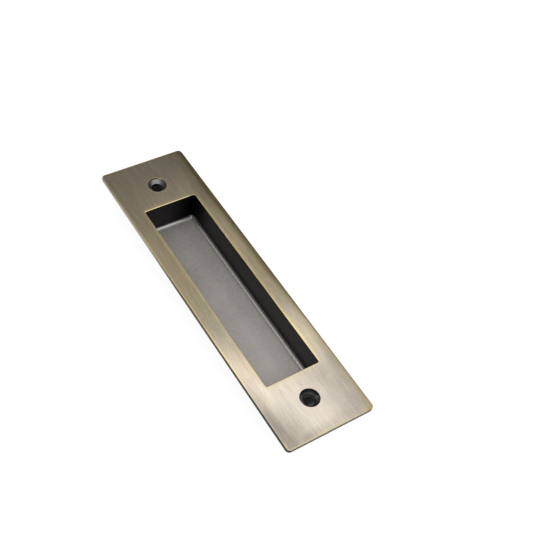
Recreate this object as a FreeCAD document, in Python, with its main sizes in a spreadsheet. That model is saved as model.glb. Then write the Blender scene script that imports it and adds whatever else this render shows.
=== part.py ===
import FreeCAD, Part
import os
import Sketcher

# Recessed door pull, let into the face or edge of a sliding door.
# It is one die casting: a flat plate with rounded corners, and behind its long opening a
# box-shaped cup with drafted walls that four fingers reach into. Two countersunk screw holes,
# each with a boss behind it, fix the plate to the door.
# Z points out of the door towards the hand, Y runs along the pull and X across it.
# The origin is on the door's surface, midway between the two screws.

# Millimetres and degrees. Each size that can be chosen by itself is written once, here.
SIZES = {
    # The recess: its opening is measured at the face, and its depth from the face.
    "opening_length": 129.0,
    "opening_width": 32.0,
    "recess_depth": 18.0,
    "recess_corner_radius": 1.2,
    "floor_fillet_radius": 2.0,
    "rim_rounding": 0.35,
    "draft_angle": 1.0,
    # The plate, which reaches past the opening on all sides and covers the cut-out in the door.
    "side_margin": 10.0,
    "opening_to_screw": 15.5,
    "screw_to_end": 20.0,
    "plate_thickness": 2.2,
    "plate_corner_radius": 2.4,
    "plate_edge_rounding": 0.4,
    # The outside of the cup, which the door hides.
    "cup_wall": 2.0,
    "cup_floor": 2.0,
    "cup_edge_radius": 3.0,
    "cup_root_radius": 1.0,
    # The screw holes: a short round step, a cone for the head, and a bore to the boss's end.
    "screw_head_diameter": 10.8,
    "head_step_depth": 0.6,
    "countersink_angle": 90.0,
    "screw_bore_diameter": 6.2,
    "screw_bore_length": 1.1,
    # The boss behind each screw hole, which gives the countersink its depth.
    "boss_wall": 2.1,
    "boss_end_chamfer": 0.5,
    "boss_root_radius": 0.5,
}

# Sizes that follow from those above, as expressions on the sheet.
PLATE_WIDTH = "(sizes.opening_width + 2 * sizes.side_margin)"
SCREW_SPACING = "(sizes.opening_length + 2 * sizes.opening_to_screw)"
PLATE_LENGTH = "(%s + 2 * sizes.screw_to_end)" % SCREW_SPACING
BOSS_DIAMETER = "(sizes.screw_head_diameter + 2 * sizes.boss_wall)"
HEAD_OVERHANG = "(sizes.screw_head_diameter - sizes.screw_bore_diameter) / 2"
CONE_DEPTH = "%s / tan(sizes.countersink_angle * 0.5 deg)" % HEAD_OVERHANG
HOLE_DEPTH = "(sizes.head_step_depth + %s + sizes.screw_bore_length)" % CONE_DEPTH
# The cup is this much larger each way than the opening, where it meets the plate's back.
CUP_EXCESS = (
    "(2 * sizes.cup_wall / cos(sizes.draft_angle * 1 deg)"
    " - 2 * sizes.plate_thickness * tan(sizes.draft_angle * 1 deg))"
)

TOLERANCE = 1e-4


def make_sheet(doc):
    """Write every size into a cell of its own, under its own name."""
    sheet = doc.addObject("Spreadsheet::Sheet", "sizes")
    for row, (name, value) in enumerate(SIZES.items(), 1):
        sheet.set("A%d" % row, name)
        sheet.set("B%d" % row, str(value))
        sheet.setAlias("B%d" % row, name)
    doc.recompute()
    return sheet


def door_surface(body):
    """The plane of the door's surface, on which the plate's back lies."""
    return next(f for f in body.Origin.OriginFeatures if f.Role == "XY_Plane")


def add_face_plane(body):
    """A reference plane on the plate's face, for what is measured and cut from there."""
    plane = body.newObject("PartDesign::Plane", "face_plane")
    plane.AttachmentSupport = [(door_surface(body), "")]
    plane.MapMode = "FlatFace"
    plane.setExpression("AttachmentOffset.Base.z", "sizes.plate_thickness")
    return plane


def sketch_on(body, plane, name):
    """Start a sketch on one of the body's own planes."""
    sketch = body.newObject("Sketcher::SketchObject", name)
    sketch.AttachmentSupport = [(plane, "")]
    sketch.MapMode = "FlatFace"
    return sketch


def bind_constraint(sketch, constraint, name, expression):
    """Add a dimension to the sketch, name it and tie it to the sheet."""
    sketch.addConstraint(constraint)
    sketch.renameConstraint(sketch.ConstraintCount - 1, name)
    sketch.setExpression("Constraints." + name, expression)


def draw_rectangle(sketch, width, length):
    """Draw a rectangle centred on the origin, width along X and length along Y."""
    corners = [FreeCAD.Vector(x, y, 0) for x, y in ((-1, -1), (1, -1), (1, 1), (-1, 1))]
    for start, end in zip(corners, corners[1:] + corners[:1]):
        sketch.addGeometry(Part.LineSegment(start, end))
    bottom, right, top, left = range(4)
    for line, following in ((bottom, right), (right, top), (top, left), (left, bottom)):
        sketch.addConstraint(Sketcher.Constraint("Coincident", line, 2, following, 1))
    for line in (bottom, top):
        sketch.addConstraint(Sketcher.Constraint("Horizontal", line))
    for line in (right, left):
        sketch.addConstraint(Sketcher.Constraint("Vertical", line))
    sketch.addConstraint(Sketcher.Constraint("Symmetric", bottom, 1, top, 1, -1, 1))
    across = Sketcher.Constraint("DistanceX", bottom, 1, bottom, 2, 2)
    along = Sketcher.Constraint("DistanceY", right, 1, right, 2, 2)
    bind_constraint(sketch, across, "width", width)
    bind_constraint(sketch, along, "length", length)


def draw_screw_circles(sketch, diameter):
    """Draw a circle round each of the two screw axes."""
    upward = FreeCAD.Vector(0, 0, 1)
    # Any start does that has the circles on the right sides: the constraints then place them.
    start = FreeCAD.Vector(0, 10, 0)
    first = sketch.addGeometry(Part.Circle(start, upward, 1))
    second = sketch.addGeometry(Part.Circle(-start, upward, 1))
    sketch.addConstraint(Sketcher.Constraint("PointOnObject", first, 3, -2))
    sketch.addConstraint(Sketcher.Constraint("Symmetric", first, 3, second, 3, -1, 1))
    sketch.addConstraint(Sketcher.Constraint("Equal", first, second))
    apart = Sketcher.Constraint("DistanceY", second, 3, first, 3, 2 * start.y)
    bind_constraint(sketch, apart, "spacing", SCREW_SPACING)
    bind_constraint(sketch, Sketcher.Constraint("Diameter", first, 2), "diameter", diameter)


def feature_volume(body):
    """Volume of the solid as it stands after the body's last feature."""
    body.Document.recompute()
    return body.Tip.Shape.Volume


def chosen(kind, elements, wanted):
    """Names of the edges or faces whose corner points, given as a list, pass the test."""
    return [
        "%s%d" % (kind, number)
        for number, element in enumerate(elements, 1)
        if wanted([vertex.Point for vertex in element.Vertexes])
    ]


def dress_edges(body, name, kind, size_property, size, wanted):
    """Round or chamfer the chosen edges of the last feature."""
    body.Document.recompute()
    base = body.Tip
    edges = chosen("Edge", base.Shape.Edges, wanted)
    if not edges:
        raise RuntimeError("no edge found for " + name)
    dressing = body.newObject(kind, name)
    dressing.Base = (base, edges)
    dressing.setExpression(size_property, size)
    body.Tip = dressing


def round_edges(body, name, radius, wanted):
    dress_edges(body, name, "PartDesign::Fillet", "Radius", radius, wanted)


def chamfer_edges(body, name, width, wanted):
    dress_edges(body, name, "PartDesign::Chamfer", "Size", width, wanted)


def draft_walls(body, name, neutral_plane, is_outside, wanted):
    """Slant four walls so that they close in with depth from the neutral plane.

    The walls of a solid and those of a pocket in it slant opposite ways for this.
    """
    body.Document.recompute()
    base = body.Tip
    walls = chosen("Face", base.Shape.Faces, wanted)
    if len(walls) != 4:
        raise RuntimeError("%s finds %d walls" % (name, len(walls)))
    draft = body.newObject("PartDesign::Draft", name)
    draft.Base = (base, walls)
    draft.NeutralPlane = (neutral_plane, [""])
    draft.Reversed = is_outside
    draft.setExpression("Angle", "sizes.draft_angle")
    body.Tip = draft


def upright(points):
    """Whether an edge runs between two heights."""
    return abs(points[0].z - points[-1].z) > TOLERANCE


def level_at(height):
    """Test for edges that lie wholly at this height."""
    def wanted(points):
        return all(abs(point.z - height) < TOLERANCE for point in points)
    return wanted


def all_within(half_width, half_length):
    """Test for edges whose end points lie inside a rectangle about the Z axis."""
    def wanted(points):
        return all(abs(point.x) < half_width and abs(point.y) < half_length for point in points)
    return wanted


def spans(top, bottom):
    """Test for edges or faces that reach from one height down to another."""
    def wanted(points):
        heights = [point.z for point in points]
        reaches_top = abs(max(heights) - top) < TOLERANCE
        return reaches_top and abs(min(heights) - bottom) < TOLERANCE
    return wanted


def add_plate(body, sheet):
    """The plate: its back at the door's surface, its face edge lightly rounded.

    Returns its outline, which later tells the plate's own edges from those inside them.
    """
    outline = sketch_on(body, door_surface(body), "plate_outline")
    draw_rectangle(outline, PLATE_WIDTH, PLATE_LENGTH)
    plate = body.newObject("PartDesign::Pad", "plate")
    plate.Profile = outline
    plate.setExpression("Length", "sizes.plate_thickness")
    round_edges(body, "plate_corners", "sizes.plate_corner_radius", upright)
    round_edges(body, "plate_edge", "sizes.plate_edge_rounding", level_at(sheet.plate_thickness))
    return outline


def add_cup(body):
    """The outside of the cup, which narrows with the same draft as the recess in it."""
    outline = sketch_on(body, door_surface(body), "cup_outline")
    draw_rectangle(outline, "sizes.opening_width + " + CUP_EXCESS, "sizes.opening_length + " + CUP_EXCESS)
    cup = body.newObject("PartDesign::Pad", "cup")
    cup.Profile = outline
    cup.Reversed = True
    cup.setExpression("Length", "sizes.recess_depth - sizes.plate_thickness + sizes.cup_floor")
    body.Document.recompute()
    walls = spans(0, -cup.Length.Value)
    draft_walls(body, "cup_draft", door_surface(body), True, walls)

    def behind_plate(points):
        return min(point.z for point in points) < -TOLERANCE

    round_edges(body, "cup_edges", "sizes.cup_edge_radius", behind_plate)


def add_bosses(body):
    """A round pad behind each screw hole."""
    circles = sketch_on(body, door_surface(body), "boss_circles")
    draw_screw_circles(circles, BOSS_DIAMETER)
    bosses = body.newObject("PartDesign::Pad", "bosses")
    bosses.Profile = circles
    bosses.Reversed = True
    bosses.setExpression("Length", HOLE_DEPTH + " - sizes.plate_thickness")
    body.Document.recompute()
    chamfer_edges(body, "boss_ends", "sizes.boss_end_chamfer", level_at(-bosses.Length.Value))


def round_roots(body, plate_outline):
    """The small radii in the corners between the plate's back and the bosses and cup."""
    back = level_at(0)
    half_width = plate_outline.getDatum("width").Value / 2 - TOLERANCE
    half_length = plate_outline.getDatum("length").Value / 2 - TOLERANCE
    inside_plate = all_within(half_width, half_length)

    def boss_root(points):
        is_circle = len(points) == 1
        return is_circle and back(points) and inside_plate(points)

    def cup_root(points):
        is_circle = len(points) == 1
        return not is_circle and back(points) and inside_plate(points)

    round_edges(body, "boss_roots", "sizes.boss_root_radius", boss_root)
    round_edges(body, "cup_root", "sizes.cup_root_radius", cup_root)


def cut_recess(body, sheet, face_plane):
    """The recess: drafted walls, a wide fillet round the floor and narrow upright corners."""
    solid_before = feature_volume(body)
    outline = sketch_on(body, face_plane, "opening_outline")
    draw_rectangle(outline, "sizes.opening_width", "sizes.opening_length")
    recess = body.newObject("PartDesign::Pocket", "recess")
    recess.Profile = outline
    recess.setExpression("Length", "sizes.recess_depth")
    top = sheet.plate_thickness
    bottom = top - sheet.recess_depth
    straight = solid_before - feature_volume(body)
    draft_walls(body, "recess_draft", face_plane, False, spans(top, bottom))
    drafted = solid_before - feature_volume(body)
    if not 0 < drafted < straight:
        raise RuntimeError("the recess removes %.0f cubic mm" % drafted)
    round_edges(body, "floor_fillet", "sizes.floor_fillet_radius", level_at(bottom))

    def recess_corner(points):
        heights = [point.z for point in points]
        return abs(max(heights) - top) < TOLERANCE and min(heights) < 0

    round_edges(body, "recess_corners", "sizes.recess_corner_radius", recess_corner)
    face = level_at(top)
    half_width = sheet.opening_width / 2 + TOLERANCE
    half_length = sheet.opening_length / 2 + TOLERANCE
    in_opening = all_within(half_width, half_length)

    def rim(points):
        return face(points) and in_opening(points)

    round_edges(body, "rim", "sizes.rim_rounding", rim)


def cut_screw_holes(body, face_plane):
    """Two screw holes through plate and boss, each with a step and a cone for the head."""
    solid_before = feature_volume(body)
    circles = sketch_on(body, face_plane, "screw_circles")
    draw_screw_circles(circles, "sizes.screw_bore_diameter")
    body.Document.recompute()
    holes = body.newObject("PartDesign::Hole", "screw_holes")
    holes.Profile = circles
    holes.DepthType = "ThroughAll"
    holes.HoleCutType = "Counterdrill"
    holes.HoleCutCustomValues = True
    holes.setExpression("Diameter", "sizes.screw_bore_diameter")
    holes.setExpression("HoleCutDiameter", "sizes.screw_head_diameter")
    holes.setExpression("HoleCutDepth", "sizes.head_step_depth")
    holes.setExpression("HoleCutCountersinkAngle", "sizes.countersink_angle")
    body.Tip = holes
    if feature_volume(body) >= solid_before:
        raise RuntimeError("the screw holes remove nothing")


def check_model(doc, bodies):
    """Stop before anything is written if a feature failed or a solid is unsound."""
    for item in doc.Objects:
        if "Invalid" in item.State or "Error" in item.State:
            raise RuntimeError("%s is %s" % (item.Label, item.State))
    for body in bodies:
        shape = body.Shape
        if shape.isNull() or not shape.isValid() or len(shape.Solids) != 1:
            raise RuntimeError(body.Label + " is not one sound solid")


def build():
    doc = FreeCAD.newDocument("recessed_door_pull")
    sheet = make_sheet(doc)
    casting = doc.addObject("PartDesign::Body", "pull_casting")
    casting.Label = "pull_casting"
    casting.Placement = FreeCAD.Placement()
    plate_outline = add_plate(casting, sheet)
    add_cup(casting)
    add_bosses(casting)
    round_roots(casting, plate_outline)
    face_plane = add_face_plane(casting)
    cut_recess(casting, sheet, face_plane)
    cut_screw_holes(casting, face_plane)
    doc.recompute()
    check_model(doc, [casting])
    os.makedirs("parts", exist_ok=True)
    casting.Shape.exportStep("parts/%s.step" % casting.Label)
    box = casting.Shape.optimalBoundingBox()
    print("casting %.2f x %.2f x %.2f mm" % (box.XLength, box.YLength, box.ZLength))
    print("back at z %.2f, face at z %.2f" % (box.ZMin, box.ZMax))
    print("volume %.0f cubic mm" % casting.Shape.Volume)


build()
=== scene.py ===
# %% [markdown]
# # A recessed door pull in brushed antique brass
# The pull is one metal casting: a flat plate with a cup behind its long opening, and a
# countersunk screw hole near each end. This lesson models its skin afresh with Blender's own
# modelling operators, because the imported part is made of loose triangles, and then gives it
# one procedural finish.
#
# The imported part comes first. It sets the size and the place of all that follows, and
# everything here is in metres, in its frame: Z out of the door, Y along the pull, X across.

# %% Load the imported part
import math

import bmesh
import bpy
from mathutils import Matrix, Vector


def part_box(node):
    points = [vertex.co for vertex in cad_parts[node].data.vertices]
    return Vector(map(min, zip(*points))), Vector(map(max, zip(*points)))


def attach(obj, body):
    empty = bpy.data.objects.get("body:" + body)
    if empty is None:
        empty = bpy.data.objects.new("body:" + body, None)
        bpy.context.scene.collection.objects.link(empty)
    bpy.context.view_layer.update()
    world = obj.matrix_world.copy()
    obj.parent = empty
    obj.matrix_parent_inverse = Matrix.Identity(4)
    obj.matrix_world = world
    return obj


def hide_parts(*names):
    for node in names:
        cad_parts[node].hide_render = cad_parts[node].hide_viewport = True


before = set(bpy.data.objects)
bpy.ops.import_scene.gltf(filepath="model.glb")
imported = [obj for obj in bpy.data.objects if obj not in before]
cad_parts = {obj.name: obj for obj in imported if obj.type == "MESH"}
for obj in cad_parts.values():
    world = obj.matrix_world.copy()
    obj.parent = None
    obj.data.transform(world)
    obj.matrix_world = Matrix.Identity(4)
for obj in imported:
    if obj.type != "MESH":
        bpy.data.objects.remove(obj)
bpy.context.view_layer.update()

MM = 0.001
low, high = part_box("pull_casting")
print("packed part, mm:", [round(side / MM, 2) for side in high - low])

# %% [markdown]
# ## The sizes
# These are the sizes of the real thing, as on a drawing. The roundings matter most for looks:
# a metal edge is seen by the thin line of light along it, so each one gets its real radius in
# the mesh, with several faces across it. The face is 2.2 mm above the door's surface, where Z
# is 0, and everything else hangs behind it.

# %% Sizes of the plate, the recess and the cup
HALF_WIDTH, HALF_LENGTH = 26 * MM, 100 * MM
PLATE_CORNER, PLATE_EDGE = 2.4 * MM, 0.4 * MM
FACE = 2.2 * MM
HALF_OPENING = (16 * MM, 64.5 * MM)
FLOOR = FACE - 18 * MM
RECESS_CORNER, FLOOR_FILLET, RIM = 1.2 * MM, 2 * MM, 0.35 * MM
DRAFT = math.tan(math.radians(1))
CUP_WALL = 2 * MM
CUP_END = FLOOR - 2 * MM
CUP_EDGE, CUP_ROOT = 3 * MM, 1 * MM
TINY = 0.01 * MM
assert abs(high.z - FACE) < TINY and abs(low.z - CUP_END) < TINY
print("depth behind the face, mm:", round((FACE - CUP_END) / MM, 2))

# %% [markdown]
# ## Rings
# Every form of the pull is a stack of level rings. The recess, for one, goes straight down
# along its walls and then draws in round the fillet to the floor. A ring is given as an outset
# from the form's outline and a height, and a quarter circle is a short list of such rings.

# %% Arcs as lists of rings
ARC_STEPS = 8
quarter = [math.radians(90 * step / ARC_STEPS) for step in range(ARC_STEPS + 1)]


def spread(radius, level):
    """Rings of an arc that starts spread out at a level and ends upright below it."""
    return [(radius * (1 - math.sin(t)), level - radius * (1 - math.cos(t))) for t in quarter]


def draw_in(radius, level):
    """Rings of an arc that starts upright and ends drawn in at a level below."""
    return [(radius * (math.cos(t) - 1), level + radius * (1 - math.sin(t))) for t in quarter]


def lean(rings, level):
    """Let the rings close in with depth below a level, by the draft of the die."""
    return [(outset + (height - level) * DRAFT, height) for outset, height in rings]


print("rings in an arc:", len(quarter))

# %% [markdown]
# ## Building a stack
# A stack is built as by hand. It starts from a flat face at the first ring. That face is
# extruded to the next height and scaled to the next outset, ring by ring. At the end the
# vertices that lie on each other are merged, and all faces are turned outwards.

# %% Extrude ring by ring
MERGE_WITHIN = 0.0001 * MM


def extrude_rings(half_x, half_y, centre, rings):
    """Extrude the selected face, which lies at the first ring, through the others."""
    outset, z = rings[0]
    size_x, size_y = half_x + outset, half_y + outset
    for outset, height in rings[1:]:
        bpy.ops.mesh.extrude_region_move(TRANSFORM_OT_translate={"value": (0, 0, height - z)})
        scale = ((half_x + outset) / size_x, (half_y + outset) / size_y, 1)
        bpy.ops.transform.resize(value=scale, center_override=(*centre, height))
        size_x, size_y, z = half_x + outset, half_y + outset, height


def finish_mesh(piece):
    """Merge doubles, turn the faces outwards and leave edit mode."""
    bpy.ops.mesh.select_all(action="SELECT")
    bpy.ops.mesh.remove_doubles(threshold=MERGE_WITHIN)
    bpy.ops.mesh.normals_make_consistent(inside=False)
    bpy.ops.object.mode_set(mode="OBJECT")
    print(piece.name, "has", len(piece.data.polygons), "faces")
    return piece

# %% [markdown]
# ## Two kinds of stack
# The plate, the cup and the recess are rectangles with rounded corners. Each starts as a plane
# whose corners are bevelled. The bosses and the screw holes are round, and start as a circle.

# %% Box stacks and round stacks
ROUND_SIDES = 96


def start_stack(name):
    """Name the new primitive, apply its place and select all of it in edit mode."""
    piece = bpy.context.object
    piece.name = name
    bpy.ops.object.transform_apply(location=True, rotation=True, scale=True)
    bpy.ops.object.mode_set(mode="EDIT")
    bpy.ops.mesh.select_all(action="SELECT")
    return piece


def box_stack(name, half_x, half_y, corner, corner_steps, rings):
    """A stack whose rings follow a rectangle with rounded corners."""
    outset, z = rings[0]
    bpy.ops.object.select_all(action="DESELECT")
    bpy.ops.mesh.primitive_plane_add(size=2, location=(0, 0, z))
    bpy.context.object.scale = (half_x + outset, half_y + outset, 1)
    piece = start_stack(name)
    bpy.ops.mesh.bevel(
        offset=corner, segments=corner_steps, affect="VERTICES", clamp_overlap=False)
    bpy.ops.mesh.select_all(action="SELECT")
    extrude_rings(half_x, half_y, (0, 0), rings)
    return finish_mesh(piece)


def round_stack(name, radius, centre, rings):
    """A stack whose rings are circles."""
    outset, z = rings[0]
    bpy.ops.object.select_all(action="DESELECT")
    bpy.ops.mesh.primitive_circle_add(
        vertices=ROUND_SIDES, radius=radius + outset, fill_type="NGON", location=(*centre, z))
    piece = start_stack(name)
    extrude_rings(radius, radius, centre, rings)
    return finish_mesh(piece)

# %% [markdown]
# ## The plate
# The plate has square sides and a softly rounded edge towards the hand. It starts as a flat
# face with rounded corners, and its stack is the arc of that edge and then a straight side.

# %% The plate
PLATE_CORNER_STEPS = 10
plate_rings = [(-outset, height) for outset, height in spread(PLATE_EDGE, FACE)] + [(0, 0)]
pull = box_stack(
    "door_pull", HALF_WIDTH, HALF_LENGTH, PLATE_CORNER, PLATE_CORNER_STEPS, plate_rings)

# %% [markdown]
# ## The cup
# Behind the plate hangs the cup, which the door hides once the pull is fitted. A die has to
# let the casting go, so the cup's walls lean in by one degree with depth. At their root they
# spread into the plate in a small radius, where a sharp corner would crack. The stack starts
# inside the plate, so that the two overlap and can be joined.

# %% The outside of the cup
INSIDE_PLATE = FACE / 2
cup_half = [half + CUP_WALL - FACE * DRAFT for half in HALF_OPENING]
cup_rings = lean(spread(CUP_ROOT, 0) + draw_in(CUP_EDGE, CUP_END), 0)
cup_rings.insert(0, (CUP_ROOT, INSIDE_PLATE))
cup = box_stack("cup", *cup_half, CUP_EDGE, ARC_STEPS, cup_rings)

# %% [markdown]
# ## The bosses
# The plate is thinner than a screw's head is deep, so behind each hole stands a round boss
# that holds the rest of the countersink. Its end has a small chamfer.

# %% A boss behind each screw hole
HOLE_AT = HALF_OPENING[1] + 15.5 * MM
BOSS_RADIUS, BOSS_END = 7.5 * MM, -1.8 * MM
BOSS_ROOT, BOSS_CHAMFER = 0.5 * MM, 0.5 * MM
boss_rings = [(BOSS_ROOT, INSIDE_PLATE)] + spread(BOSS_ROOT, 0)
boss_rings += [(0, BOSS_END + BOSS_CHAMFER), (-BOSS_CHAMFER, BOSS_END)]
bosses = [round_stack("boss", BOSS_RADIUS, (0, side * HOLE_AT), boss_rings) for side in (1, -1)]

# %% [markdown]
# ## The recess
# What is empty in the pull is modelled as a solid too, and cut away afterwards. The recess
# has a narrow radius in its upright corners and a wide fillet round its floor, and its rim is
# rounded where the fingers pull. Its stack starts above the face, so that it cuts cleanly.

# %% The recess, as a solid
ABOVE_FACE = FACE + 1 * MM
recess_rings = lean(spread(RIM, FACE) + draw_in(FLOOR_FILLET, FLOOR), FACE)
recess_rings.insert(0, (RIM, ABOVE_FACE))
recess = box_stack("recess", *HALF_OPENING, RECESS_CORNER, ARC_STEPS, recess_rings)

# %% [markdown]
# ## The screw holes
# A screw hole has a short round step, a cone for the head of the screw, and a bore. The cone
# is a countersink of 90 degrees, so it goes as deep as it gets narrower.

# %% The screw holes, as solids
HEAD_RADIUS, BORE_RADIUS, HEAD_STEP = 5.4 * MM, 3.1 * MM, 0.6 * MM
CONE_DEPTH = HEAD_RADIUS - BORE_RADIUS
CONE_END = FACE - HEAD_STEP - CONE_DEPTH
hole_rings = [
    (0, ABOVE_FACE),
    (0, FACE - HEAD_STEP),
    (-CONE_DEPTH, CONE_END),
    (-CONE_DEPTH, BOSS_END - 1 * MM),
]
holes = [round_stack("hole", HEAD_RADIUS, (0, side * HOLE_AT), hole_rings) for side in (1, -1)]

# %% [markdown]
# ## One casting out of the forms
# Boolean modifiers join the plate, the cup and the bosses and cut the recess and the holes.
# They are applied one by one, and each tool is deleted after its cut. The result is one
# closed skin, as a casting is.

# %% Join and cut
def combine(piece, tool, operation):
    """Apply a boolean of the tool to the piece, and delete the tool."""
    bpy.ops.object.select_all(action="DESELECT")
    bpy.context.view_layer.objects.active = piece
    piece.select_set(True)
    boolean = piece.modifiers.new(operation.lower(), "BOOLEAN")
    boolean.operation = operation
    boolean.solver = "EXACT"
    boolean.object = tool
    bpy.ops.object.modifier_apply(modifier=boolean.name)
    bpy.data.objects.remove(tool)


for tool in [cup, *bosses]:
    combine(pull, tool, "UNION")
for tool in [recess, *holes]:
    combine(pull, tool, "DIFFERENCE")
bpy.ops.object.mode_set(mode="EDIT")
finish_mesh(pull)

# %% [markdown]
# ## Smooth where it is round, flat where it is flat
# Smooth shading blends the direction of a face into that of its neighbours. It is wanted round
# an arc, but it would also put false gradients on the large flat faces, and metal shows those
# at once. So sharp edges are kept by angle, and a Weighted Normal modifier gives each corner
# the direction of the largest face that it touches.

# %% Shade the skin
SHARP_FROM = math.radians(32)
bpy.ops.object.shade_smooth_by_angle(angle=SHARP_FROM)
weighted = pull.modifiers.new("flat faces stay flat", "WEIGHTED_NORMAL")
weighted.weight = 100
weighted.keep_sharp = True
bpy.ops.object.modifier_apply(modifier=weighted.name)

# %% [markdown]
# ## In the place of the imported casting
# The skin is measured once: its open edges are counted and its volume is printed. It then
# rides on the same body and takes the place of the packed casting.

# %% Measure the skin and hand it over
CUBIC_CM = 1e-6
mesh = bmesh.new()
mesh.from_mesh(pull.data)
print("open edges:", sum(not edge.is_manifold for edge in mesh.edges))
print("volume, cubic cm:", round(mesh.calc_volume() / CUBIC_CM, 2))
mesh.free()

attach(pull, "root")
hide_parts("pull_casting")

# %% [markdown]
# ## Shader maths that reads like maths
# The finish depends on the place: the face is brushed, its edges are worn, the recess is dark.
# Each of these is worked out from the object's coordinates with a chain of Math nodes. Written
# node by node that takes pages, so a small class lets Python's own operators add the nodes:
# `1 - mask` is then a Math node set to Subtract. Most masks are smooth steps, so the class has
# words for them: a mask can rise, fall, or be 1 between two places.

# %% Numbers in a node tree
class Number:
    """A number or colour in a node tree. Python's operators work on the numbers."""

    def __init__(self, finish, socket):
        self.finish, self.socket = finish, socket

    def maths(self, operation, *values):
        return self.finish.node("Math", {"operation": operation}, dict(enumerate(values)))

    def __add__(self, other):
        return self.maths("ADD", self, other)

    def __sub__(self, other):
        return self.maths("SUBTRACT", self, other)

    def __rsub__(self, other):
        return self.maths("SUBTRACT", other, self)

    def __mul__(self, other):
        return self.maths("MULTIPLY", self, other)

    def __truediv__(self, other):
        return self.maths("DIVIDE", self, other)

    def __pow__(self, other):
        return self.maths("POWER", self, other)

    def __abs__(self):
        return self.maths("ABSOLUTE", self)

    def at_least(self, other):
        return self.maths("MAXIMUM", self, other)

    def at_most(self, other):
        return self.maths("MINIMUM", self, other)

    def rise(self, start, end):
        """A smooth step: 0 up to the start, 1 from the end."""
        settings = {"interpolation_type": "SMOOTHSTEP"}
        sockets = {"Value": self, "From Min": start, "From Max": end}
        return self.finish.node("MapRange", settings, sockets)

    def fall(self, start, end):
        """A smooth step down: 1 up to the start, 0 from the end."""
        return 1 - self.rise(start, end)

    def between(self, start, full, fade, end):
        """1 from full to fade, and 0 before the start and after the end."""
        return self.rise(start, full) * self.fall(fade, end)

    __radd__, __rmul__ = __add__, __mul__

# %% [markdown]
# ## Every other node from one method
# The second class holds the nodes of one material, or of the world. Its method `node` adds any
# node: it takes the node's type, its settings, and the values or links of its sockets. Two
# nodes are needed again and again for colours, Mix and Vector Math, because a Math node would
# turn a colour grey, so they get a short word each.

# %% The nodes of a finish
class Finish:
    """The nodes of a material or of the world, with one way to add any node to them."""

    def __init__(self, owner):
        owner.use_nodes = True
        self.owner, self.tree = owner, owner.node_tree
        self.tree.nodes.clear()

    def node(self, kind, settings, sockets, output=0):
        """Add a node and return one of its outputs. Sockets go by name or by number."""
        node = self.tree.nodes.new("ShaderNode" + kind)
        for name, value in settings.items():
            setattr(node, name, value)
        for name, value in sockets.items():
            socket = node.inputs[name]
            if isinstance(value, Number):
                self.tree.links.new(value.socket, socket)
            else:
                is_colour = socket.type == "RGBA" and len(value) == 3
                socket.default_value = (*value, 1) if is_colour else value
        return Number(self, node.outputs[output]) if node.outputs else None

    def split(self, vector, axes):
        """The named parts of a vector, such as X and Y."""
        return (self.node("SeparateXYZ", {}, {"Vector": vector}, output=axis) for axis in axes)

    def blend(self, mask, under, over):
        """One colour over another where the mask is 1."""
        return self.node("Mix", {"data_type": "RGBA"}, {0: mask, 6: under, 7: over}, output=2)

    def scale(self, colour, factor):
        """A colour made lighter or darker by a number."""
        return self.node("VectorMath", {"operation": "SCALE"}, {0: colour, "Scale": factor})

    def report(self, done):
        """Print how many nodes there are once something is done."""
        print("nodes up to", done + ":", len(self.tree.nodes))

# %% [markdown]
# ## Where on the pull a point lies
# All masks come from a few distances: to the plate's outline, to the opening's and to the
# rims of the screw holes. The distance to a rectangle with rounded corners is a known short
# formula: how far outside it the point is along X and Y, less the corner's radius.
#
# The finish is laid out in millimetres, as one would note it down with a ruler on the pull. So
# a number inside `rise`, `fall` or `between` is a place or a distance in millimetres, and the
# factor in front of a mask is its strength.

# %% Places and distances, in millimetres
finish = Finish(bpy.data.materials.new("brushed antique brass"))
coordinates = finish.node("TexCoord", {}, {}, output="Object")
x, y, z = (part / MM for part in finish.split(coordinates, "XYZ"))


def distance_to_box(half_x, half_y, corner):
    """Distance to a rectangle with rounded corners, negative inside it."""
    past_x, past_y = abs(x) - (half_x - corner) / MM, abs(y) - (half_y - corner) / MM
    outside = (past_x.at_least(0) ** 2 + past_y.at_least(0) ** 2) ** 0.5
    return outside + past_x.at_least(past_y).at_most(0) - corner / MM


from_outline = distance_to_box(HALF_WIDTH, HALF_LENGTH, PLATE_CORNER)
from_opening = distance_to_box(*HALF_OPENING, RECESS_CORNER)
from_hole = (x ** 2 + (abs(y) - HOLE_AT / MM) ** 2) ** 0.5 - HEAD_RADIUS / MM
below_face = FACE / MM - z
above_floor = z - FLOOR / MM
above_cup_end = z - CUP_END / MM
above_bore = z - CONE_END / MM
finish.report("the distances")

# %% [markdown]
# ## Which part of the skin a point is on
# The belt reaches a little way down the rounded edge of the face, further at the far end and
# along the very near edge. The other masks tell the recess and the screw holes from the rest.

# %% Masks for the face, the recess and the holes
reached = 0.08 + 0.28 * y.rise(-10, 60) + 0.35 * y.fall(-99.6, -98)
on_face = (reached - below_face).rise(-0.06, 0.06)
in_recess = from_opening.fall(-0.1, 0.1) * above_cup_end.rise(0.8, 1.2)
in_hole = from_hole.fall(-0.2, 0) * below_face.rise(0, 0.15)
on_right, on_left = x.rise(20, 24), x.fall(-24, -20)
finish.report("the masks")

# %% [markdown]
# ## Brushing
# Brushed metal is covered with fine scratches that all run one way. They are drawn as noise in
# streaks, ten to thirty times as long as they are wide. The narrow ones are the single
# scratches, and the broad ones the strokes of the belt. As a bump they also spread the
# reflections crosswise, as real brushing does. Two noises that aren't stretched add the
# unevenness of the bath that darkened the metal, and the grain of a cast surface.

# %% Scratches along the pull
def streaks(width, length, seed, detail=2):
    """Noise in streaks of about this width and length, from 0 to 1."""
    place = finish.node(
        "CombineXYZ", {}, {"X": x / width + seed, "Y": y / length, "Z": z / width})
    return finish.node("TexNoise", {}, {"Vector": place, "Scale": 1, "Detail": detail})


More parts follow.
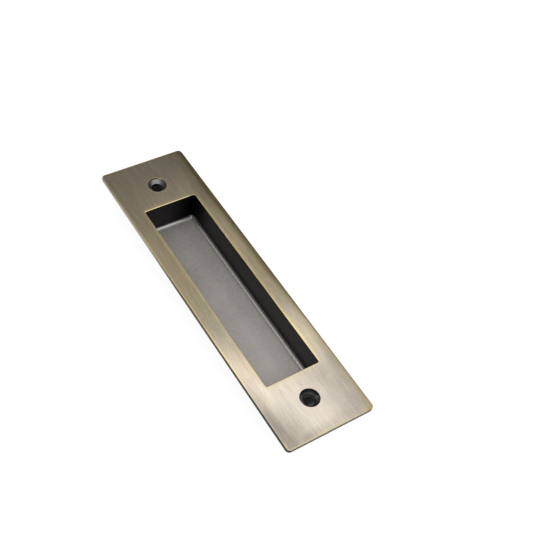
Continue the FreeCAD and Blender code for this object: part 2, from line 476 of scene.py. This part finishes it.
hair = streaks(0.16, 5, seed=3)
fine = streaks(0.6, 11, seed=7, detail=3)
broad = streaks(3, 34, seed=11)
clouds = finish.node("TexNoise", {}, {"Vector": coordinates, "Scale": 60, "Detail": 2})
grain = finish.node("TexNoise", {}, {"Vector": coordinates, "Scale": 1500, "Detail": 3})
finish.report("the noises")

# %% [markdown]
# ## The brass of the face
# The whole casting is plated, darkened, and then brushed bright again where the belt reaches.
# The brass is painted paler at the near end, where the face mirrors the lamp, as a painted
# highlight; it is warmer in the middle and duller at the far end. So the face begins as three
# colours that blend along its length, and a fourth, paler one is a painted highlight round the
# near screw hole. The borders are never straight lines, because the broad strokes shift them.

# %% Brass along the face
# The first colour is a painted highlight at the near end, the last a painted highlight round the
# near screw hole.
PALE_HIGHLIGHT = (0.66, 0.58, 0.465)
WARM = (0.60, 0.510, 0.325)
FAR = (0.535, 0.465, 0.350)
HIGHLIGHT_TINT = (0.66, 0.592, 0.505)

near_end, far_end = y.fall(-52, 2), y.rise(30, 96)
highlight_spot = abs(x).fall(16, 22) * y.between(-98, -93, -76, -66)
face_colour = finish.blend(near_end * (1.35 - 0.7 * broad), WARM, PALE_HIGHLIGHT)
face_colour = finish.blend(far_end, face_colour, FAR)
face_colour = finish.blend(highlight_spot * (0.2 + 1.2 * broad), face_colour, HIGHLIGHT_TINT)
finish.report("the brass")

# %% [markdown]
# Two thin tints come over it. One is golden: it lies across the pull where the pale brass
# begins, and on the corners. The other is a breath of green on the left side.

# %% Tints in the brass
GOLDEN = (0.50, 0.40, 0.15)
GREENISH = (0.20, 0.48, 0.38)

golden = 0.06 + 0.12 * x.rise(-23.5, -18.5) + 0.12 * x.rise(-5, 5)
golden = golden * y.between(-64, -50, -48, -26)
golden = golden + abs(x).rise(17, 22) * (0.20 * y.rise(84, 94) + 0.25 * y.fall(-97, -91))
greenish = 0.06 * x.between(-23, -19, -10, 0) * y.between(-40, -30, 0, 8)
face_colour = finish.blend(golden, face_colour, GOLDEN)
face_colour = finish.blend(greenish, face_colour, GREENISH)
finish.report("the tints")

# %% [markdown]
# ## Painted shade
# The lamp's highlight on the face fades towards the corners and the ends, and that fall-off is
# painted into the colour as shade. It is the sum of a few soft patches: the near corners, the
# long sides near them, the right part of the near end, and the very end. Fainter ones lie
# beside the recess and round the near screw hole.

# %% Patches of painted shade
near_corners = 0.95 * (abs(x) + 3).rise(4, 30) * (y - 0.35 * x).fall(-98, -46)
near_sides = (
    (0.36 * x.fall(-25, -19) + 0.20 * x.rise(19, 25)) * y.fall(-78, -38)
    + 0.04 * x.fall(-22, -19) * y.between(-88, -82, -74, -66))
right_of_near_end = 0.24 * x.rise(-14, 8) * y.between(-92, -74, -62, -36)
very_end = 0.10 * y.fall(-96, -74) + 0.25 * y.fall(-98, -93) * x.between(-18, -12, 2, 20)
beside_recess = (
    0.10 * y.between(-50, -36, -26, -4)
    + 0.15 * x.between(-21, -18.5, -5, 0) * y.between(-63, -57, -40, -28))
round_hole = (
    0.08 * x.between(-9, -4, 9, 16) * y.fall(-66, -60)
    + 0.12 * x.between(3, 8, 10, 15) * y.between(-98, -94, -86, -78)
    + 0.07 * x.between(-19, -15, -13, -9) * y.between(-96, -92, -76, -68)
    + 0.08 * x.between(10, 14, 15, 18) * y.between(-74, -69, -64, -58))
finish.report("the patches")

# %% [markdown]
# The painted shade never covers the brass completely, so the sum of the patches is capped. It
# is lifted again beside the near screw hole, and the far end has painted shade of its own. A
# cloudy noise makes it uneven.

# %% The painted shade over the brass
# Painted shade: this colour darkens the face where the lamp's highlight fades.
CORNER_SHADE = (0.25, 0.223, 0.190)

unevenness = 0.7 + 0.6 * clouds
painted_shade = near_corners + near_sides + right_of_near_end + very_end + beside_recess + round_hole
most = 0.85 + 0.08 * x.fall(-24, -12) - 0.12 * x.rise(4, 14) * y.fall(-88, -76)
shade_lifted = (0.17 - 0.06 * x.rise(19, 24)) * x.rise(13, 18) * y.between(-91, -81, -78, -60)
far_end_shade = 0.3 * x.rise(-20, 25) * y.rise(70, 100)
painted_shade = (painted_shade.at_most(most) - shade_lifted).at_least(0) + far_end_shade
face_colour = finish.blend((painted_shade * unevenness).at_most(1), face_colour, CORNER_SHADE)
finish.report("the veil")

# %% [markdown]
# ## The darker right side
# The brass is browner along the right side, most of all along its edge and towards the far
# end. The far edge all the way across and the far right corner of the opening's rim get the
# same brown as painted shade, so that these rounded edges stay dark.

# %% Browner right side and painted shade on the far edges
SIDE_BROWN_AND_SHADE = (0.235, 0.195, 0.105)

side_brown_and_shade = (0.30 * x.rise(17, 27) + 0.75 * x.rise(21, 25.5)) * y.rise(-95, 30).at_least(0.5)
side_brown_and_shade = (
    side_brown_and_shade
    + 0.22 * x.rise(15, 21) * y.rise(46, 64) * (1 - 0.7 * y.rise(84, 96))
    + 0.12 * x.rise(21.5, 24) * y.between(-14, -4, 14, 24)
    + 0.15 * abs(x).rise(19, 23) * y.fall(-96, -90))
# Painted shade on the rounded far edge and on the far right corner of the rim.
far_edge_shade = 0.85 * y.rise(98, 99.3)
far_rim_shade = 0.8 * from_opening.fall(0.3, 1.2) * x.rise(10, 15) * y.rise(62, 64.4)
side_brown_and_shade = side_brown_and_shade.at_least(far_edge_shade).at_least(far_rim_shade)
face_colour = finish.blend((side_brown_and_shade * unevenness).at_most(1), face_colour, SIDE_BROWN_AND_SHADE)
finish.report("the right side")

# %% [markdown]
# ## Worn edges and their glint
# A belt bites hardest on edges, so a line of bare yellow brass runs along them: round the
# plate, round the opening and, at the far end, round the screw hole. The line is also a painted
# highlight, the glint of light along each rounded edge. Each line is an edge mask times a
# weight that depends on its place.

# %% Where the edges are bare and glint
shift = 0.5 * y.fall(-98.5, -97) * x.fall(20, 24)
outer_edge = (from_outline - shift).rise(-1.5, -0.7)
outer_weight = x.fall(5, 26).at_least(0.35 + 0.5 * near_end).at_least(on_right)
outer_weight = outer_weight * (1 - 0.8 * on_left * y.between(-98, -94, -70, -50))
outer_weight = outer_weight * (1 - 0.45 * on_left * y.rise(66, 90))
far_band = 0.45 * from_opening.fall(0.5, 3.6) * y.rise(60, 64)
inner_edge = from_opening.fall(0.3, 2.2).at_least(far_band)
inner_weight = 1 - (0.30 * x.rise(0, 10) + 0.55 * x.rise(10, 15)) * y.rise(60, 64)
hole_edge = 0.42 * from_hole.fall(0.2, 1.5) * y.rise(0, 50)
# The bare line is partly wear and partly a painted highlight along the edges.
bare_and_glint = (outer_edge * outer_weight).at_least(inner_edge * inner_weight).at_least(hole_edge)
finish.report("the bare edges")

# %% [markdown]
# The line is bright in the far half. In the near half, where the face is bright itself, it
# is a little darker than the face. So it gets one of four colours, by its place: bright brass,
# the duller near brass, the brown of the right side, or the gold of a painted highlight on the
# near right corner.

# %% The colour of the bare edges and their painted glint
BARE = (0.86, 0.71, 0.385)
BARE_NEAR = (0.52, 0.44, 0.275)
BARE_RIGHT = (0.24, 0.19, 0.088)
# The last colour is a painted highlight, the gold glint on the near right corner.
CORNER_GLINT = (0.36, 0.235, 0.085)

left_half = x.fall(0, 15)
near_inside = 0.5 * y.fall(-60, -36) + 0.5 * y.fall(-66, -62)
near_inside = near_inside.at_least(y.fall(-40, -5) * left_half)
near_outside = y.fall(-75, -35)
near_bare = near_outside + inner_edge * (near_inside - near_outside)
near_bare = near_bare.at_least(0.2 * inner_edge * left_half)
bare_and_glint_colour = finish.blend(near_bare, BARE, BARE_NEAR)
bare_and_glint_colour = finish.blend(on_right, bare_and_glint_colour, BARE_RIGHT)
bare_and_glint_colour = finish.blend(on_right * y.fall(-98.5, -90), bare_and_glint_colour, CORNER_GLINT)
face_colour = finish.blend(0.85 * bare_and_glint, face_colour, bare_and_glint_colour)
finish.report("the colour of the edges")

# %% [markdown]
# ## Strokes of light and dark
# The scratches also change the colour a little, more where the bath has left its clouds. The
# result is a number round 1 that scales the colour. Four spots are painted a little lighter:
# before the far screw hole, at the near left corner of the opening, where it is a painted
# highlight streak, and one on each long side.

# %% Strokes in the colour
strokes = 0.34 * hair + 0.40 * fine + 0.26 * broad - 0.50
tone_and_highlights = (
    0.98 + strokes * (0.35 + 1.3 * clouds) + 0.2 * (grain - 0.5)
    + 0.12 * y.between(60, 65, 66, 86) * abs(x).fall(8, 20)
    # A painted highlight streak by the near left corner of the opening.
    + 0.10 * x.between(-21, -18, -17, -13) * y.between(-80, -70, -66, -61)
    + 0.09 * x.fall(-16, -14) * y.between(24, 34, 44, 58)
    + 0.09 * x.between(14, 17, 19, 22) * y.between(8, 16, 36, 46))
face_colour = finish.scale(face_colour, tone_and_highlights)
finish.report("the strokes")

# %% [markdown]
# ## The satin floor of the recess
# No belt reaches into the recess. Its floor has a satin grey finish like fine sand. It is
# painted a little lighter towards the near end, which mirrors the lamp, and towards the right,
# and a little darker on the left and in the far part. Painted shade lies in the last strip
# before the right wall, and a painted highlight right at the far wall, where the line of light
# along the fillet begins.

# %% Sand and painted light on the floor
SATIN = (0.415, 0.388, 0.360)

lifted = above_floor - 0.12 * x.rise(10, 14)
on_floor = lifted.fall(0.02, 0.12)
at_far_wall = y.rise(61.4, 62.4)
# Painted light: lighter towards the near end and the right, painted shade before the right wall,
# a painted highlight at the far wall.
sand_and_light = 0.30 + 0.80 * grain + 0.24 * clouds + 0.34 * y.fall(-60, 64)
sand_and_light = sand_and_light * (1 + 0.2 * x.rise(5, 13) - 0.08 * x.fall(-5, 3))
sand_and_light = sand_and_light * (1 - 0.10 * y.rise(36, 56) * x.fall(4, 14) - 0.22 * x.rise(12.8, 13.8))
sand_and_light = sand_and_light * (1 + 0.8 * at_far_wall)
floor_colour = finish.scale(SATIN, sand_and_light)
finish.report("the floor")

# %% [markdown]
# ## The walls and the fillet
# The walls keep the dark plating. Painted shade makes them blackest in the far right corner and
# low on the right wall. The fillet between a wall and the floor is smooth, and its colour turns
# lighter towards the floor, which paints in part of the thin line of light that runs round the
# floor. Painted shade dims that line in the far corner, where it ends.

# %% Dark walls, painted shade and a lighter fillet
WALL = (0.045, 0.044, 0.046)
BLACK = (0.004, 0.004, 0.005)
FILLET = (0.52, 0.50, 0.485)
FILLET_CORNER_SHADE = (0.20, 0.193, 0.188)

from_wall_x, from_wall_y = HALF_OPENING[0] / MM - abs(x), HALF_OPENING[1] / MM - abs(y)
from_upright = from_wall_x.at_least(from_wall_y)
# Painted shade: blackest in the far right corner and low on the right wall.
upright = from_upright.fall(1, 20) * x.rise(-6, 3) * y.rise(-50, 0)
upright = upright.at_least(0.4 * z.fall(-14, -8) * x.rise(10, 15))
wall_colour = finish.blend(upright, WALL, BLACK)
# Painted shade dims the fillet's line of light in the far corner.
far_corner_shade = from_upright.fall(1.2, 2.6) * x.rise(0, 1) * y.rise(0, 1)
fillet_colour = finish.blend(far_corner_shade, FILLET, FILLET_CORNER_SHADE)
up_the_fillet = (lifted - 0.28 * x.rise(12, 14) + 0.35 * at_far_wall).rise(0.1, 1.9) ** 0.9
recess_colour = finish.blend(up_the_fillet, fillet_colour, wall_colour)
recess_colour = finish.blend(on_floor, recess_colour, floor_colour)
finish.report("the walls")

# %% [markdown]
# ## The plate's sides
# The sides keep the dark plating too, and in the near half they are black. Low on the left
# side, in its far half, a lighter strip is a painted reflection of the white paper. The rim of
# the opening belongs to the brushed face, also where it rounds over.

# %% Sides and rim
DARK = (0.028, 0.025, 0.021)
PAPER_REFLECTION = (0.5, 0.48, 0.45)

on_side = from_outline.rise(-0.3, -0.1)
# Painted reflection of the white paper, low on the left side in its far half.
low_on_left = on_left * y.rise(0, 50) * below_face.rise(0.9, 1.5) * z.rise(-0.1, 0)
side_colour = finish.blend(low_on_left * on_side, DARK, PAPER_REFLECTION)
side_colour = finish.blend(y.fall(-60, -20) * on_side, side_colour, BLACK)
rim = from_opening.fall(0.35, 0.45) * below_face.fall(0.2, 0.35)
colour = finish.blend(on_face, side_colour, face_colour)
colour = finish.blend(in_recess * (1 - rim), colour, recess_colour)
finish.report("the sides")

# %% [markdown]
# ## The cones of the screw holes
# A screw hole is dark as well. Parts of its cone are painted lighter, as painted reflections: in
# the near hole two patches at the sides and a ring low down, and in the far hole a band round
# the back. Both are laid out along two axes that are turned to them.

# %% Painted reflections on the cones
DARK_HOLE = (0.018, 0.018, 0.018)
CONE_REFLECTION = (0.25, 0.242, 0.235)

far_hole = y.rise(-40, 40)
hole_y = y + HOLE_AT / MM - 2 * HOLE_AT / MM * far_hole
sideways, behind = 0.85 * x - 0.53 * hole_y, 0.53 * x + 0.85 * hole_y
# Painted reflections: lighter patches on the cones.
near_cone_reflection = 0.75 * abs(sideways).rise(2.2, 4.2) * behind.fall(1.2, 3.2)
near_cone_reflection = near_cone_reflection + 0.22 * below_face.rise(1.2, 2.0)
far_cone_reflection = 1 - 0.5 * sideways.rise(0.5, 2.5) - 0.6 * sideways.fall(-4.4, -2.6)
far_cone_reflection = far_cone_reflection * below_face.rise(0.3, 0.9)
on_cone = above_bore.rise(0.25, 0.4) * (near_cone_reflection + far_hole * (far_cone_reflection - near_cone_reflection))
hole_dark = finish.blend(far_hole, DARK_HOLE, BLACK)
colour = finish.blend(in_hole, colour, finish.blend(on_cone, hole_dark, CONE_REFLECTION))
finish.report("the screw holes")

# %% [markdown]
# ## Gloss and relief
# Roughness and bump follow the same masks: scratches on the face, a fine sandy grain on the
# floor of the recess, smoother plating on the walls, and the rough skin of a casting on the
# back, which was never finished. The relief is a few thousandths of a millimetre deep.

# %% Roughness and bump
RELIEF = 0.008 * MM

satin = in_recess * on_floor
scratched = on_face * (1 - in_hole)
as_cast = (1 - on_face) * (1 - in_recess)
roughness = (
    0.10 + 0.06 * hair + 0.04 * fine
    + 0.16 * in_recess + 0.14 * satin + 0.08 * (1 - on_face)
    + as_cast * (0.10 + 0.10 * clouds)
    + 0.5 * upright * in_recess * above_floor.rise(1.5, 3))
height = scratched * (hair + 0.5 * fine) + satin * grain * 0.6 + as_cast * grain * 1.5
normal = finish.node("Bump", {}, {"Strength": 1, "Distance": RELIEF, "Height": height})
finish.report("the relief")

# %% [markdown]
# ## The shader
# One Principled shader takes it all. The pull is metal everywhere, apart from the satin floor,
# whose fine grit scatters light more as paint does, so Metallic is lower there.

# %% Put the finish on the pull
shader = finish.node("BsdfPrincipled", {}, {
    "Base Color": colour, "Metallic": 1 - 0.6 * satin, "Roughness": roughness, "Normal": normal})
finish.node("OutputMaterial", {}, {"Surface": shader})
pull.data.materials.clear()
pull.data.materials.append(finish.owner)
finish.report("the end")

# %% [markdown]
# ## The camera
# The photograph was taken from above the near end of the pull, with a lens a little longer
# than a normal one. The camera's place follows from where the corners of the plate and of the
# opening appear in it. It is given here as for a tripod: a point to aim at, a distance, an
# azimuth and an elevation, and a roll.

# %% Camera
AIM = Vector((0.02503, 0.00046, 0.0022))
DISTANCE = 0.5173
AZIMUTH, ELEVATION, ROLL = (math.radians(angle) for angle in (-41.166, 50.438, 11.562))
LENS, SENSOR = 63.769, 36

away = Vector((
    math.cos(ELEVATION) * math.sin(AZIMUTH),
    -math.cos(ELEVATION) * math.cos(AZIMUTH),
    math.sin(ELEVATION),
))
camera = bpy.data.objects.new("camera", bpy.data.cameras.new("camera"))
bpy.context.scene.collection.objects.link(camera)
level = away.to_track_quat("Z", "Y").to_matrix().to_4x4()
rolled = level @ Matrix.Rotation(ROLL, 4, "Z")
camera.matrix_world = Matrix.Translation(AIM + DISTANCE * away) @ rolled
camera.data.lens = LENS
camera.data.sensor_width = SENSOR
bpy.context.scene.camera = camera
print("camera at", [round(place, 4) for place in camera.location])

# %% [markdown]
# ## The lamp
# Metal shows what is around it, so lighting it means placing what it mirrors. A broad soft
# lamp hangs overhead and points straight down: the near end of the face mirrors it and is
# bright, and the far end mirrors the dimmer room beyond. Its power grows with its area, so
# that it looks equally bright at any size.

# %% Lamp
LAMP_AT = (0.1, -0.36, 1.0)
LAMP_WIDTH, LAMP_LENGTH = 2.2, 1.7
LAMP_BRIGHTNESS = 0.81

lamp = bpy.data.lights.new("overhead", "AREA")
lamp.shape = "RECTANGLE"
lamp.size, lamp.size_y = LAMP_WIDTH, LAMP_LENGTH
lamp.energy = LAMP_BRIGHTNESS * math.pi * LAMP_WIDTH * LAMP_LENGTH
hanging = bpy.data.objects.new("overhead", lamp)
bpy.context.scene.collection.objects.link(hanging)
hanging.location = LAMP_AT
print("lamp, watts:", round(lamp.energy, 2))

# %% [markdown]
# ## The floor
# The pull lies on white paper. The paper glows white to the camera, in mirrors and through
# glass, but it sheds no light of its own on the pull, and it keeps a soft shadow. In a patch
# under the pull, a little off its middle, the glow is taken away, which paints a dark shadow
# there.

# %% Floor
FLOOR_SIZE = 40
GLOW = (0.9, 0.9, 0.9)
SHADED = (0.2, 0.2, 0.2)
PAPER_NEAR, PAPER_FAR = (0.07, 0.07, 0.07), (0.01, 0.01, 0.01)

bpy.ops.object.select_all(action="DESELECT")
bpy.ops.mesh.primitive_plane_add(size=FLOOR_SIZE, location=(0, 0, CUP_END - TINY))
floor = bpy.context.object
floor.name = "floor"
paper = Finish(bpy.data.materials.new("white paper"))
place = paper.node("TexCoord", {}, {}, output="Object")
across, along = (part / MM for part in paper.split(place, "XY"))
# Painted shadow: in this patch under the pull the paper doesn't glow.
under = abs(across - 9).fall(6, 24) * abs(along - 11.5).fall(85, 100)
paper_colour = paper.blend(along.rise(-40, 40), PAPER_NEAR, PAPER_FAR)
paper_colour = paper.blend(under, SHADED, paper_colour)
floor.data.materials.append(paper.owner)
paper.report("the paper's colour")

# %% [markdown]
# A Light Path node tells which rays have come straight from the camera, from a mirror or
# through glass. Only those see the glow.

# %% The glow of the paper
rays = ("Is Camera Ray", "Is Glossy Ray", "Is Transmission Ray")
seen = sum(paper.node("LightPath", {}, {}, output=ray) for ray in rays).at_most(1)
glow = paper.blend(seen * (1 - under), (0, 0, 0), GLOW)
sheet = paper.node("BsdfPrincipled", {}, {
    "Base Color": paper_colour, "Roughness": 0.9, "Emission Color": glow,
    "Emission Strength": 1})
paper.node("OutputMaterial", {}, {"Surface": sheet})
paper.report("the end")

# %% [markdown]
# ## The room
# The world stands for the room. It is dimmer ahead, which is what the far end of the face
# mirrors, and brighter higher up. Down to the horizon it turns white, as the floor is, so that
# no dark line shows where the floor ends.

# %% The room
BRIGHTEST, DIMMER_AHEAD = 0.62, 0.40
LOW_DOWN, HIGH_UP = 0.6, 1.0

world = bpy.data.worlds.new("studio")
bpy.context.scene.world = world
room = Finish(world)
direction = room.node("TexCoord", {}, {}, output="Generated")
ahead, upward = room.split(direction, "YZ")
daylight = BRIGHTEST - DIMMER_AHEAD * ahead.rise(0.41, 0.675)
daylight = daylight * (LOW_DOWN + (HIGH_UP - LOW_DOWN) * upward.rise(0.1, 0.6))
horizon = upward.fall(0.05, 0.15)
strength = horizon + (1 - horizon) * daylight
background = room.node("Background", {}, {"Color": (1, 1, 1), "Strength": strength})
room.node("OutputWorld", {}, {"Surface": background})
bpy.context.scene.view_settings.view_transform = "Standard"
room.report("the end of the room")
